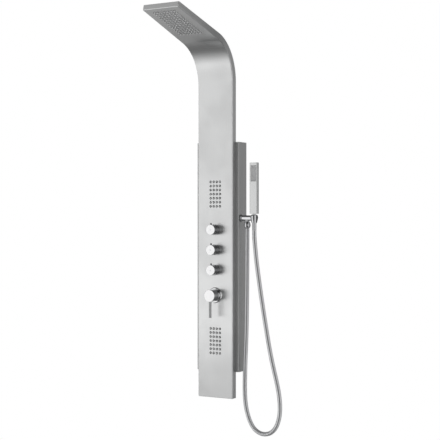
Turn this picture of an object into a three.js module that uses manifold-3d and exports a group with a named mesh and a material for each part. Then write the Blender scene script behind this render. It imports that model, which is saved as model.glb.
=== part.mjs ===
// Rainfall shower column: a wall-hung brushed steel panel whose top bends forward into a rain head,
// with two fields of body jets, three diverter knobs, a single-lever mixer and a hand shower on a hose.
// Millimetres. X runs across the panel, -Y points at the user, the wall is the plane y = 0, +Z is up.
// Heights below are measured from the panel's bottom edge; the finished group is then lowered so that
// its origin is the middle of the upper wall bracket's back face.
import * as THREE from "three";
import { mergeVertices } from "three/addons/utils/BufferGeometryUtils.js";
import Module from "manifold-3d";

const wasm = await Module();
wasm.setup();

// ---------------------------------------------------------------- driving dimensions
const GAP = 0.3; // clearance between neighbouring pieces
const SHEET = 1.5; // steel sheet
const FRONT_Y = -82; // front face of the panel

const PANEL_HALF = 76.5; // half width of the straight panel
const ARC_END_HALF = 82; // half width where the bend runs into the head
const TIP_HALF = 76; // half width at the tip of the head
const PAN_DEPTH = 27.5; // side returns of the straight panel
const ARC_END_DEPTH = 25; // side returns where the bend ends
const TIP_DEPTH = 21; // side returns at the tip
const STRAIGHT_TOP = 1217; // height where the bend starts
const BEND_RADIUS = 155; // front face of the bend
const BEND_ANGLE = THREE.MathUtils.degToRad(74);
const BEND_STEPS = 12;
const HEAD_LENGTH = 290; // from the end of the bend to the tip

const CASING = { half: 93, front: -62, bottom: 102, top: 990 };
const WEB_FRONT = FRONT_Y + PAN_DEPTH + GAP; // casing web, just behind the panel's returns

const BRACKET = { half: 60, tall: 60, plate: 2, lip: 18, holeX: 40, holeRadius: 3.3 };
const BRACKET_HEIGHTS = { upper: 900, lower: 150 };

const RAIN_GRID = { columns: 7, rows: 13, across: 14.2, along: 15.6, first: 74 };
const JET_GRID = { columns: 4, rows: 7, across: 13.9, along: 15.8 };
const JET_HEIGHTS = { upper: 789, lower: 220 };
const NUB = { radius: 2.4, hole: 2.75, proud: 2.2, sides: 4 };
const MAT_THICKNESS = 3;
const RIM = 6; // mat beyond its outermost nubs

const VALVE_HEIGHTS = [651, 573, 495];
const CARTRIDGE_RADIUS = 10;
const KNOB = { radius: 19, back: 16.8, front: 38, pinFromFace: 6, pinRadius: 2.5, pinReach: 25.5 };
const SLEEVE_RADIUS = 20;

const MIXER_HEIGHT = 397;
const MIXER = { boss: 23, cartridge: 16, handle: 23.5, back: 15, front: 46.5, pivot: 16 };
const LEVER = { radius: 4.5, reach: 85, fromFace: 8 };

const PIPE_RADIUS = 5.5;
const MANIFOLD = { half: 15, front: -43, back: -17, top: 690 };
const MIXER_BODY = { half: 50, bottom: MIXER_HEIGHT - 13, top: MIXER_HEIGHT + 13 };
const PIPE_Y = (MANIFOLD.front + MANIFOLD.back) / 2;
const INLET = { x: 38, radius: 10.4, bore: 7, bottom: 365 };

const HOLDER_Y = -40; // plane of the outlet arm, the hose and the hand shower
const ARM = { height: 696, radius: 10.75, boreRadius: 5, tailRadius: 8, tailStart: 80 };
const OUTLET_X = 118.5;
const CRADLE_X = 149;
const SLOT = { turn: THREE.MathUtils.degToRad(60), half: 8.9, reach: 24 };
const HOSE_RADIUS = 8.5;
const NUT_TOP = 706.5;
const NUT_BOTTOM = 650;
const HANDSET = { half: 17, halfDepth: 7.5, bottom: 712.3, top: 909.3, corner: 3, wall: 2 };
const SPRAY = { half: 12, bottom: 837.5, top: 897.8, depth: 3, proud: 0.6 };

// Route of the free hose in the plane y = HOLDER_Y, from under the outlet to under the hand shower.
const HOSE_ROUTE = [
  [118.5, 656.7], [118.5, 615], [118.3, 560], [118, 500], [117.5, 440], [116.8, 380], [116, 320],
  [114.6, 260], [112.5, 200], [110, 145], [108.5, 90], [107.8, 40], [109.5, -5], [116.8, -48],
  [131, -87], [150, -114], [174, -128], [199, -130], [223, -121], [243, -99], [256, -64],
  [259.8, -22], [255.5, 25], [247, 66], [237, 105], [225.5, 150], [213.5, 205], [202.2, 265],
  [190.5, 330], [179.5, 395], [169.2, 460], [160.3, 520], [153.9, 575], [149.8, 620],
  [149, 649.7],
];

// ---------------------------------------------------------------- materials
function finish(color, roughness, metalness) {
  return new THREE.MeshStandardMaterial({ color, roughness, metalness });
}

const brushedSteel = finish(0xc6c8c8, 0.34, 1);
const darkSteel = finish(0x9a9c9c, 0.4, 1);
const chrome = finish(0xe2e4e6, 0.08, 1);
const satinChrome = finish(0xd4d6d8, 0.22, 1);
const brass = finish(0xb99a55, 0.35, 1);
const silicone = finish(0x8f9293, 0.7, 0);
const whitePlastic = finish(0xd8d8d4, 0.5, 0);
const blackPlastic = finish(0x2c2d2e, 0.5, 0);

// ---------------------------------------------------------------- solids
// A closed geometry as a manifold solid, with its faces turned outwards.
function solid(geometry) {
  const bare = new THREE.BufferGeometry();
  bare.setAttribute("position", geometry.getAttribute("position"));
  bare.setIndex(geometry.getIndex());
  const merged = mergeVertices(bare, 1e-4);
  const points = merged.getAttribute("position");
  const corners = merged.getIndex().array;
  const triangles = [];
  let volume = 0;
  for (let i = 0; i < corners.length; i += 3) {
    const [a, b, c] = [corners[i], corners[i + 1], corners[i + 2]];
    if (a === b || b === c || c === a) continue;
    triangles.push(a, b, c);
    const [p, q, r] = [a, b, c].map((k) => new THREE.Vector3().fromBufferAttribute(points, k));
    volume += p.dot(q.cross(r));
  }
  if (volume < 0) triangles.reverse();
  return new wasm.Manifold(new wasm.Mesh({
    numProp: 3,
    vertProperties: Float32Array.from(points.array),
    triVerts: Uint32Array.from(triangles),
  }));
}

function join(first, ...others) {
  return others.reduce((whole, other) => whole.add(other), first);
}

function cut(body, ...tools) {
  return tools.reduce((rest, tool) => rest.subtract(tool), body);
}

function box(x0, x1, y0, y1, z0, z1) {
  const geometry = new THREE.BoxGeometry(x1 - x0, y1 - y0, z1 - z0);
  return solid(geometry.translate((x0 + x1) / 2, (y0 + y1) / 2, (z0 + z1) / 2));
}

// A straight round or polygonal bar between two points.
function rod(radius, from, to, sides = 16) {
  const start = new THREE.Vector3(...from);
  const span = new THREE.Vector3(...to).sub(start);
  const geometry = new THREE.CylinderGeometry(radius, radius, span.length(), sides);
  const turn = new THREE.Quaternion().setFromUnitVectors(
    new THREE.Vector3(0, 1, 0),
    span.clone().normalize(),
  );
  geometry.applyQuaternion(turn);
  return solid(geometry.translate(...start.addScaledVector(span, 0.5)));
}

// An outline of [radius, distance] pairs turned about an axis; "front" is -Y, as seen by the user.
function turned(outline, axis, centre = [0, 0, 0], sides = 20) {
  const closed = [...outline, outline[0]].map(([radius, along]) => new THREE.Vector2(radius, along));
  const geometry = new THREE.LatheGeometry(closed, sides);
  if (axis === "front") geometry.rotateX(Math.PI);
  if (axis === "x") geometry.rotateZ(-Math.PI / 2);
  if (axis === "z") geometry.rotateX(Math.PI / 2);
  return solid(geometry.translate(...centre));
}

// An outline in x and y pulled up from one height to another.
function prism(outline, z0, z1) {
  const shape = new THREE.Shape(outline.map(([x, y]) => new THREE.Vector2(x, y)));
  const geometry = new THREE.ExtrudeGeometry(shape, { depth: z1 - z0, bevelEnabled: false });
  return solid(geometry.translate(0, 0, z0));
}

// A round bar along a line through the points, with its corners rounded off.
function pipe(points, radius, bend, steps, sides = 6) {
  const corners = points.map((point) => new THREE.Vector3(...point));
  const path = new THREE.CurvePath();
  let start = corners[0];
  for (let i = 1; i < corners.length - 1; i += 1) {
    const back = start.clone().sub(corners[i]).normalize();
    const ahead = corners[i + 1].clone().sub(corners[i]).normalize();
    const into = corners[i].clone().addScaledVector(back, bend);
    const out = corners[i].clone().addScaledVector(ahead, bend);
    path.add(new THREE.LineCurve3(start, into));
    path.add(new THREE.QuadraticBezierCurve3(into, corners[i], out));
    start = out;
  }
  path.add(new THREE.LineCurve3(start, corners[corners.length - 1]));
  return along(path, radius, steps, sides);
}

function along(path, radius, steps, sides) {
  const section = new THREE.Shape();
  for (let i = 0; i < sides; i += 1) {
    const angle = (i * 2 * Math.PI) / sides;
    const corner = [radius * Math.cos(angle), radius * Math.sin(angle)];
    if (i === 0) section.moveTo(...corner);
    else section.lineTo(...corner);
  }
  return solid(new THREE.ExtrudeGeometry(section, { steps, extrudePath: path }));
}

// ---------------------------------------------------------------- the bent panel
const BEND_LENGTH = BEND_RADIUS * BEND_ANGLE;
const HEAD_START = STRAIGHT_TOP + BEND_LENGTH;
const PANEL_LENGTH = HEAD_START + HEAD_LENGTH;

// The panel's front face at a distance along it from the bottom edge: its point, the direction into
// the panel, the direction onwards, and the panel's half width and depth there.
function station(distance) {
  const turn = THREE.MathUtils.clamp((distance - STRAIGHT_TOP) / BEND_RADIUS, 0, BEND_ANGLE);
  const beyond = Math.max(distance - HEAD_START, 0);
  const climb = Math.min(distance, STRAIGHT_TOP);
  const inward = new THREE.Vector3(0, Math.cos(turn), Math.sin(turn));
  const onward = new THREE.Vector3(0, -Math.sin(turn), Math.cos(turn));
  const point = new THREE.Vector3(0, FRONT_Y - BEND_RADIUS, climb)
    .addScaledVector(inward, BEND_RADIUS)
    .addScaledVector(onward, beyond);
  const bent = turn / BEND_ANGLE;
  const out = beyond / HEAD_LENGTH;
  const half = PANEL_HALF + (ARC_END_HALF - PANEL_HALF) * bent + (TIP_HALF - ARC_END_HALF) * out;
  const depth = PAN_DEPTH + (ARC_END_DEPTH - PAN_DEPTH) * bent + (TIP_DEPTH - ARC_END_DEPTH) * out;
  return { point, inward, onward, half, depth };
}

// A point on the panel: across it, along it, and into it from its front face.
function onPanel(across, distance, depth) {
  const { point, inward } = station(distance);
  return point.clone().addScaledVector(inward, depth).setX(across);
}

// A solid that follows the panel from one distance to another; its section is an outline of
// [across, into] pairs made for each station.
function followPanel(from, to, sectionAt) {
  const distances = [from];
  for (let i = 0; i <= BEND_STEPS; i += 1) {
    const distance = STRAIGHT_TOP + (BEND_LENGTH * i) / BEND_STEPS;
    if (distance > from && distance < to) distances.push(distance);
  }
  distances.push(to);
  const sections = distances.map((distance) => sectionAt(station(distance)));
  const points = sections.flatMap((section, i) => (
    section.map(([across, into]) => onPanel(across, distances[i], into))
  ));
  const count = sections[0].length;
  const index = [];
  for (let i = 0; i < distances.length - 1; i += 1) {
    for (let j = 0; j < count; j += 1) {
      const [a, b] = [i * count + j, i * count + ((j + 1) % count)];
      index.push(a, b, b + count, a, b + count, a + count);
    }
  }
  const last = (distances.length - 1) * count;
  const outline = sections[0].map(([across, into]) => new THREE.Vector2(across, into));
  for (const [a, b, c] of THREE.ShapeUtils.triangulateShape(outline, [])) {
    index.push(a, c, b, last + a, last + b, last + c);
  }
  const geometry = new THREE.BufferGeometry().setFromPoints(points);
  geometry.setIndex(index);
  return solid(geometry);
}

// The steel pan: front face with two side returns.
function panSection({ half, depth }) {
  const inner = half - SHEET;
  return [
    [-half, 0], [half, 0], [half, depth], [inner, depth],
    [inner, SHEET], [-inner, SHEET], [-inner, depth], [-half, depth],
  ];
}

function fullSection({ half, depth }) {
  return [[-half, 0], [half, 0], [half, depth], [-half, depth]];
}

// A flat cover lying between the returns, flush with their edges.
function coverSection({ half, depth }) {
  const inner = half - SHEET - GAP;
  return [[-inner, depth - SHEET], [inner, depth - SHEET], [inner, depth], [-inner, depth]];
}

// Places of a grid's nubs as [across, along] pairs around the grid's middle.
function gridPlaces({ columns, rows, across, along: pitch }) {
  const places = [];
  for (let row = 0; row < rows; row += 1) {
    for (let column = 0; column < columns; column += 1) {
      places.push([(column - (columns - 1) / 2) * across, (row - (rows - 1) / 2) * pitch]);
    }
  }
  return places;
}

const RAIN_MIDDLE = HEAD_START + RAIN_GRID.first + ((RAIN_GRID.rows - 1) / 2) * RAIN_GRID.along;

// Short bars through the panel's front face at a grid's places.
function nubs(grid, middle, radius, from, to) {
  return gridPlaces(grid).map(([across, offset]) => rod(
    radius,
    onPanel(across, middle + offset, from).toArray(),
    onPanel(across, middle + offset, to).toArray(),
    NUB.sides,
  ));
}

// A block lying inside the panel, around the middle of a nub grid.
function gridBlock(grid, middle, rim, from, to) {
  const half = ((grid.columns - 1) * grid.across) / 2 + rim;
  const reach = ((grid.rows - 1) * grid.along) / 2 + rim;
  const section = () => [[-half, from], [half, from], [half, to], [-half, to]];
  return followPanel(middle - reach, middle + reach, section);
}

function columnShell() {
  const pan = followPanel(0, PANEL_LENGTH, panSection);
  const bottomFold = followPanel(0, SHEET, fullSection);
  const tipFold = followPanel(PANEL_LENGTH - SHEET, PANEL_LENGTH, fullSection);
  const through = [-1, SHEET + 1];
  const frontHole = (radius, height) => (
    rod(radius, [0, FRONT_Y - 1, height], [0, FRONT_Y + SHEET + 1, height])
  );
  return cut(
    join(pan, bottomFold, tipFold),
    ...nubs(RAIN_GRID, RAIN_MIDDLE, NUB.hole, ...through),
    ...Object.values(JET_HEIGHTS).flatMap((height) => nubs(JET_GRID, height, NUB.hole, ...through)),
    ...VALVE_HEIGHTS.map((height) => frontHole(CARTRIDGE_RADIUS + 0.4, height)),
    frontHole(MIXER.cartridge + 0.5, MIXER_HEIGHT),
  );
}

function upperBackCover() {
  return followPanel(CASING.top + 1, PANEL_LENGTH - SHEET - GAP, coverSection);
}

function lowerBackCover() {
  return followPanel(SHEET + GAP, CASING.bottom - 1, coverSection);
}

// A silicone mat behind the sheet, with nubs that stand out through its holes.
function nozzleMat(grid, middle) {
  const back = SHEET + GAP;
  const base = gridBlock(grid, middle, RIM, back, back + MAT_THICKNESS);
  return join(base, ...nubs(grid, middle, NUB.radius, -NUB.proud, back + 1));
}

// A tray over the mat that spreads the water; it is open towards the mat.
function waterChamber(grid, middle, depth) {
  const front = SHEET + GAP + MAT_THICKNESS + GAP;
  return cut(
    gridBlock(grid, middle, RIM + 3, front, front + depth),
    gridBlock(grid, middle, RIM - 1, front - 1, front + depth - 2),
  );
}

// ---------------------------------------------------------------- casing and wall brackets
function casingOutline() {
  const { half, front } = CASING;
  const lip = PANEL_HALF + GAP;
  return [
    [-half, 0], [-half, front], [-lip, front], [-lip, WEB_FRONT],
    [lip, WEB_FRONT], [lip, front], [half, front], [half, 0],
  ];
}

function casingChannel() {
  const { half, front, bottom, top } = CASING;
  const lip = PANEL_HALF + GAP + SHEET;
  const inner = half - SHEET;
  const inside = [
    [inner, 0], [inner, front + SHEET], [lip, front + SHEET], [lip, WEB_FRONT + SHEET],
    [-lip, WEB_FRONT + SHEET], [-lip, front + SHEET], [-inner, front + SHEET], [-inner, 0],
  ];
  const channel = prism([...casingOutline(), ...inside], bottom + SHEET + GAP, top - SHEET - GAP);
  const webHole = (radius, x, height) => (
    rod(radius, [x, WEB_FRONT - 1, height], [x, WEB_FRONT + SHEET + 1, height])
  );
  return cut(
    channel,
    ...VALVE_HEIGHTS.map((height) => webHole(CARTRIDGE_RADIUS + 2, 0, height)),
    webHole(MIXER.boss + 1, 0, MIXER_HEIGHT),
    ...Object.values(JET_HEIGHTS).map((height) => webHole(PIPE_RADIUS + 2, 0, height)),
    webHole(PIPE_RADIUS + 2, RAIN_PIPE_X, RAIN_PIPE_HEIGHT),
    rod(ARM.tailRadius + 0.4, [inner - 1, HOLDER_Y, ARM.height], [half + 1, HOLDER_Y, ARM.height]),
  );
}

function casingCap(z) {
  return prism(casingOutline(), z, z + SHEET);
}

// A wall plate with a shelf and an upright lip that the casing web hangs against.
function wallBracket(height) {
  const { half, tall, plate, lip, holeX, holeRadius } = BRACKET;
  const top = height + tall / 2;
  const reach = WEB_FRONT + SHEET + GAP;
  return cut(
    join(
      box(-half, half, -plate, 0, height - tall / 2, top),
      box(-half, half, reach, 0, top - plate, top),
      box(-half, half, reach, reach + plate, top - plate, top + lip),
    ),
    ...[-holeX, holeX].map((x) => rod(holeRadius, [x, -plate - 1, height], [x, 1, height], 10)),
  );
}

// A strip fixed to the casing web that hooks over the bracket's lip.
function hangerStrip(height) {
  const { half, tall, plate, lip } = BRACKET;
  const web = WEB_FRONT + SHEET + GAP;
  const lipTop = height + tall / 2 + lip;
  const behind = web + plate + GAP;
  return join(
    box(-half, half, web, web + plate, lipTop + GAP, lipTop + 14),
    box(-half, half, web, behind + plate, lipTop + GAP, lipTop + GAP + plate),
    box(-half, half, behind, behind + plate, lipTop - 10, lipTop + GAP + plate),
  );
}

// ---------------------------------------------------------------- water path
const RAIN_PIPE_X = -42;
const RAIN_PIPE_HEIGHT = 665;
const RAIN_PIPE_DEPTH = 12; // behind the panel's front face

// The mixed water's channel, up and down through both brass bodies.
function waterChannel() {
  const reach = [MIXER_BODY.bottom - 1, MANIFOLD.top + 1];
  return rod(PIPE_RADIUS - 1.5, [0, PIPE_Y, reach[0]], [0, PIPE_Y, reach[1]], 12);
}

// A round bar straight into the panel, at a height on its middle line.
function inwardBar(radius, height, from, to) {
  return rod(radius, [0, from, height], [0, to, height]);
}

function diverterManifold() {
  const { half, front, back, top } = MANIFOLD;
  return cut(
    box(-half, half, front, back, MIXER_BODY.top + GAP, top),
    waterChannel(),
    ...VALVE_HEIGHTS.map((height) => inwardBar(CARTRIDGE_RADIUS + 0.4, height, front - 1, front + 8)),
  );
}

function mixerBody() {
  const { half, bottom, top } = MIXER_BODY;
  const { front, back } = MANIFOLD;
  const bossFront = FRONT_Y + SHEET + 0.8;
  return cut(
    join(
      box(-half, half, front, back, bottom, top),
      inwardBar(12.5, MIXER_HEIGHT, front + 1, front - 1),
      inwardBar(MIXER.boss, MIXER_HEIGHT, front - GAP, bossFront),
    ),
    waterChannel(),
    inwardBar(MIXER.cartridge + 0.5, MIXER_HEIGHT, FRONT_Y, FRONT_Y + 30),
  );
}

function inletNipple(x) {
  const { radius, bore, bottom } = INLET;
  const top = MIXER_BODY.bottom - GAP;
  return turned(
    [[bore, bottom], [radius, bottom], [radius, top - 4], [radius + 1.2, top - 4],
      [radius + 1.2, top], [bore, top]],
    "z",
    [x, PIPE_Y, 0],
    20,
  );
}

// From the manifold's side through the casing web, then up inside the panel to the rain chamber.
function rainFeedPipe() {
  const depth = FRONT_Y + RAIN_PIPE_DEPTH;
  const bend = 14;
  const end = RAIN_MIDDLE - ((RAIN_GRID.rows - 1) * RAIN_GRID.along) / 2 - RIM - 3 - GAP;
  const path = new THREE.CurvePath();
  const corner = [
    new THREE.Vector3(-MANIFOLD.half - GAP, PIPE_Y, RAIN_PIPE_HEIGHT),
    new THREE.Vector3(RAIN_PIPE_X, PIPE_Y, RAIN_PIPE_HEIGHT),
    new THREE.Vector3(RAIN_PIPE_X, depth, RAIN_PIPE_HEIGHT),
    new THREE.Vector3(RAIN_PIPE_X, depth, STRAIGHT_TOP),
  ];
  const nearX = (v) => v.clone().setX(v.x + bend);
  const nearY = (v, by) => v.clone().setY(v.y + by);
  path.add(new THREE.LineCurve3(corner[0], nearX(corner[1])));
  path.add(new THREE.QuadraticBezierCurve3(nearX(corner[1]), corner[1], nearY(corner[1], -bend)));
  path.add(new THREE.LineCurve3(nearY(corner[1], -bend), nearY(corner[2], bend)));
  const risen = corner[2].clone().setZ(RAIN_PIPE_HEIGHT + bend);
  path.add(new THREE.QuadraticBezierCurve3(nearY(corner[2], bend), corner[2], risen));
  path.add(new THREE.LineCurve3(risen, corner[3]));
  let last = corner[3];
  for (let i = 1; i <= BEND_STEPS; i += 1) {
    const next = onPanel(RAIN_PIPE_X, STRAIGHT_TOP + (BEND_LENGTH * i) / BEND_STEPS, RAIN_PIPE_DEPTH);
    path.add(new THREE.LineCurve3(last, next));
    last = next;
  }
  path.add(new THREE.LineCurve3(last, onPanel(RAIN_PIPE_X, end, RAIN_PIPE_DEPTH)));
  return along(path, PIPE_RADIUS, 44, 6);
}

// From an end of the water channel to the back of a jet chamber.
function jetPipe(start, height) {
  const front = FRONT_Y + SHEET + GAP + MAT_THICKNESS + GAP + JET_CHAMBER_DEPTH + GAP;
  return pipe([[0, PIPE_Y, start], [0, PIPE_Y, height], [0, front, height]], PIPE_RADIUS, 12, 12);
}

function handShowerPipe() {
  const start = [MANIFOLD.half + GAP, PIPE_Y, 640];
  const end = [ARM.tailStart - GAP, HOLDER_Y, ARM.height];
  const rise = [[48, PIPE_Y, 640], [48, HOLDER_Y, ARM.height]];
  return pipe([start, ...rise, end], PIPE_RADIUS, 14, 16);
}

const JET_CHAMBER_DEPTH = 12;
const RAIN_CHAMBER_DEPTH = 10.5;

// ---------------------------------------------------------------- diverter valves
// Each piece is drawn around its valve's axis, with distances in front of the panel's face.
function valveCartridge() {
  return turned([[0, -46], [CARTRIDGE_RADIUS, -46], [CARTRIDGE_RADIUS, 4], [0, 4]], "front");
}

function valveNut() {
  const bore = CARTRIDGE_RADIUS + 0.4;
  return cut(
    turned([[0, GAP], [15, GAP], [15, 5], [0, 5]], "front", [0, 0, 0], 6),
    turned([[0, -1], [bore, -1], [bore, 6], [0, 6]], "front"),
  );
}

function valveSleeve() {
  const outer = SLEEVE_RADIUS;
  const inner = outer - 2.5;
  return turned(
    [[inner, GAP], [outer, GAP], [outer, 15], [outer - 1, 16], [inner, 16]],
    "front",
  );
}

function diverterSpindle() {
  return turned([[0, 4 + GAP], [4, 4 + GAP], [4, 26], [0, 26]], "front", [0, 0, 0], 16);
}

function diverterKnob() {
  const { radius, back, front, pinFromFace, pinRadius } = KNOB;
  const height = -(front - pinFromFace);
  return cut(
    turned(
      [[0, back], [radius - 0.8, back], [radius, back + 0.8], [radius, front - 1],
        [radius - 1, front], [0, front]],
      "front",
    ),
    turned([[0, back - 1], [4.4, back - 1], [4.4, 26 + GAP], [0, 26 + GAP]], "front", [0, 0, 0], 16),
    rod(pinRadius + 0.4, [0, height, 12.6], [0, height, radius + 1], 12),
  );
}

function knobPin() {
  const height = -(KNOB.front - KNOB.pinFromFace);
  return rod(KNOB.pinRadius, [0, height, 13], [0, height, KNOB.pinReach], 12);
}

// ---------------------------------------------------------------- mixer
function mixerCartridge() {
  const radius = MIXER.cartridge;
  return turned([[0, -29.5], [radius, -29.5], [radius, 8], [0, 8]], "front");
}

function mixerBonnet() {
  return turned(
    [[16.4, GAP], [18.6, GAP], [18.6, 12.5], [17, 14], [11.8, 14], [11.8, 8 + GAP], [16.4, 8 + GAP]],
    "front",
  );
}

function mixerEscutcheon() {
  return turned([[19, GAP], [29, GAP], [29, 1.8], [27, 3.6], [22.5, 5.4], [19, 5.6]], "front");
}

// The part of the cartridge that turns with the handle; the lever stub rocks in its slot.
function mixerCarrier() {
  const radius = 11.2;
  return cut(
    turned([[0, 8 + GAP], [radius, 8 + GAP], [radius, 20], [0, 20]], "front"),
    box(-4.4, 4.4, -21, -10.7, -12, 12),
  );
}

function mixerStub() {
  return box(-4, 4, -40, -(MIXER.pivot - 2.5), -4, 4);
}

function mixerHandle() {
  const { handle, back, front } = MIXER;
  const height = -(front - LEVER.fromFace);
  return cut(
    turned(
      [[21.2, back], [handle, back], [handle, front - 1.2], [handle - 1.2, front], [0, front],
        [0, 30], [21.2, 30]],
      "front",
    ),
    box(-4.3, 4.3, -40 - GAP, -29, -4.3, 4.3),
    rod(LEVER.radius + 0.4, [0, height, -14], [0, height, -handle - 1], 16),
  );
}

function mixerLever() {
  const height = -(MIXER.front - LEVER.fromFace);
  return join(
    rod(LEVER.radius, [0, height, -14 - GAP], [0, height, -LEVER.reach + 1], 16),
    rod(LEVER.radius - 0.8, [0, height, -LEVER.reach + 2], [0, height, -LEVER.reach], 16),
  );
}

// ---------------------------------------------------------------- outlet arm, hose and hand shower
function outletFlange() {
  const inner = ARM.radius + 0.4;
  return turned(
    [[inner, 0], [14.5, 0], [14.5, 2], [13.5, 4], [inner, 4]],
    "x",
    [CASING.half + GAP, HOLDER_Y, ARM.height],
  );
}

// The cradle's opening, turned from the front towards the right so the hose comes out that way.
function cradleSlot() {
  const across = [Math.cos(SLOT.turn) * SLOT.half, Math.sin(SLOT.turn) * SLOT.half];
  const outward = [Math.sin(SLOT.turn) * SLOT.reach, -Math.cos(SLOT.turn) * SLOT.reach];
  return [[-1, 0], [-1, 1], [1, 1], [1, 0]].map(([side, out]) => [
    CRADLE_X + side * across[0] + out * outward[0],
    HOLDER_Y + side * across[1] + out * outward[1],
  ]);
}

// One brass casting: threaded tail, arm, outlet neck and the slotted cradle for the hose nut.
function outletArm() {
  const { height, radius, tailRadius, tailStart, boreRadius } = ARM;
  const axisPoint = (x) => [x, HOLDER_Y, height];
  const neckPoint = (z) => [OUTLET_X, HOLDER_Y, z];
  const cradle = turned(
    [[0, 677], [10.4, 677], [12.8, 686], [15.5, 697], [14.2, 705], [11.4, 709], [0, 709]],
    "z",
    [CRADLE_X, HOLDER_Y, 0],
  );
  const seat = turned(
    [[0, 676], [9.1, 676], [10.5, 710], [0, 710]],
    "z",
    [CRADLE_X, HOLDER_Y, 0],
  );
  return cut(
    join(
      rod(radius, axisPoint(CASING.half + GAP), axisPoint(CRADLE_X - 6), 20),
      rod(tailRadius, axisPoint(tailStart), axisPoint(CASING.half + 1)),
      rod(8.8, neckPoint(height), neckPoint(683)),
      rod(6, neckPoint(height), neckPoint(673)),
      cradle,
    ),
    seat,
    prism(cradleSlot(), 670, 715),
    rod(boreRadius, axisPoint(tailStart - 1), axisPoint(OUTLET_X), 12),
    rod(boreRadius - 0.6, neckPoint(height), neckPoint(670), 12),
  );
}

function outletLocknut() {
  const start = 84;
  const end = CASING.half - SHEET - GAP;
  return cut(
    rod(14, [start, HOLDER_Y, ARM.height], [end, HOLDER_Y, ARM.height], 6),
    rod(ARM.tailRadius + 0.4, [start - 1, HOLDER_Y, ARM.height], [end + 1, HOLDER_Y, ARM.height]),
  );
}

function hoseOutletNut() {
  const top = 683 - GAP;
  const bottom = HOSE_ROUTE[0][1] + GAP;
  return turned(
    [[0, bottom], [9.2, bottom], [11.8, 661.5], [13.5, 667], [13.3, 672], [11.4, 678], [9.4, top],
      [6.4, top], [6.4, 672.5], [0, 672.5]],
    "z",
    [OUTLET_X, HOLDER_Y, 0],
  );
}

function hose() {
  const points = HOSE_ROUTE.map(([x, z]) => new THREE.Vector3(x, HOLDER_Y, z));
  return along(new THREE.CatmullRomCurve3(points), HOSE_RADIUS, 54, 8);
}

function hoseHandsetNut() {
  return turned(
    [[0, NUT_BOTTOM], [8.4, NUT_BOTTOM], [8.7, 676], [9.95, NUT_TOP], [5, NUT_TOP], [5, 690],
      [0, 690]],
    "z",
    [CRADLE_X, HOLDER_Y, 0],
  );
}

function handsetNeck() {
  const top = HANDSET.bottom - GAP;
  const shoulder = NUT_TOP + GAP;
  return turned(
    [[0, 691], [4.6, 691], [4.6, shoulder], [6.8, shoulder], [6.8, top], [0, top]],
    "z",
    [CRADLE_X, HOLDER_Y, 0],
    20,
  );
}

function roundedOutline(half, halfDepth, corner, centreX, centreY) {
  const outline = [];
  const cornerSteps = 3;
  const centres = [[1, 1], [-1, 1], [-1, -1], [1, -1]];
  centres.forEach(([sideX, sideY], quarter) => {
    for (let i = 0; i <= cornerSteps; i += 1) {
      const angle = ((quarter + i / cornerSteps) * Math.PI) / 2;
      outline.push([
        centreX + sideX * (half - corner) + corner * Math.cos(angle),
        centreY + sideY * (halfDepth - corner) + corner * Math.sin(angle),
      ]);
    }
  });
  return outline;
}

// A hollow bar: water rises inside it to the spray plate's recess, whose rim is a ledge.
function handsetBody() {
  const { half, halfDepth, bottom, top, corner, wall } = HANDSET;
  const face = HOLDER_Y - halfDepth;
  const block = (reach, y0, y1, z0, z1) => box(CRADLE_X - reach, CRADLE_X + reach, y0, y1, z0, z1);
  return cut(
    prism(roundedOutline(half, halfDepth, corner, CRADLE_X, HOLDER_Y), bottom, top),
    block(SPRAY.half, face - 1, face + SPRAY.depth, SPRAY.bottom, SPRAY.top),
    block(half - wall, face + wall, HOLDER_Y + halfDepth - wall, bottom + 4, SPRAY.bottom - 3),
    block(SPRAY.half - 2, face + SPRAY.depth - 1, HOLDER_Y + halfDepth - wall,
      SPRAY.bottom - 4, SPRAY.top - 2),
    rod(3.5, [CRADLE_X, HOLDER_Y, bottom - 1], [CRADLE_X, HOLDER_Y, bottom + 5], 12),
  );
}

function handsetSprayPlate() {
  const { half, bottom, top, depth, proud } = SPRAY;
  const face = HOLDER_Y - HANDSET.halfDepth;
  return box(CRADLE_X - half + GAP, CRADLE_X + half - GAP, face - proud, face + depth - GAP,
    bottom + GAP, top - GAP);
}

// ---------------------------------------------------------------- assembly
const assembly = new THREE.Group();

function add(name, manifold, material, parent = assembly) {
  const { numProp, vertProperties, triVerts } = manifold.getMesh();
  const geometry = new THREE.BufferGeometry();
  geometry.setAttribute("position", new THREE.BufferAttribute(vertProperties, numProp));
  geometry.setIndex(new THREE.BufferAttribute(triVerts, 1));
  geometry.computeVertexNormals();
  const mesh = new THREE.Mesh(geometry, material);
  mesh.name = name;
  parent.add(mesh);
}

function placed(x, y, z) {
  const group = new THREE.Group();
  group.position.set(x, y, z);
  assembly.add(group);
  return group;
}

add("column_shell", columnShell(), brushedSteel);
add("upper_back_cover", upperBackCover(), darkSteel);
add("lower_back_cover", lowerBackCover(), darkSteel);
add("casing_channel", casingChannel(), brushedSteel);
add("casing_top_cap", casingCap(CASING.top - SHEET), brushedSteel);
add("casing_bottom_cap", casingCap(CASING.bottom), brushedSteel);
add("upper_wall_bracket", wallBracket(BRACKET_HEIGHTS.upper), darkSteel);
add("lower_wall_bracket", wallBracket(BRACKET_HEIGHTS.lower), darkSteel);
add("upper_hanger_strip", hangerStrip(BRACKET_HEIGHTS.upper), darkSteel);
add("lower_hanger_strip", hangerStrip(BRACKET_HEIGHTS.lower), darkSteel);

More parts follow.
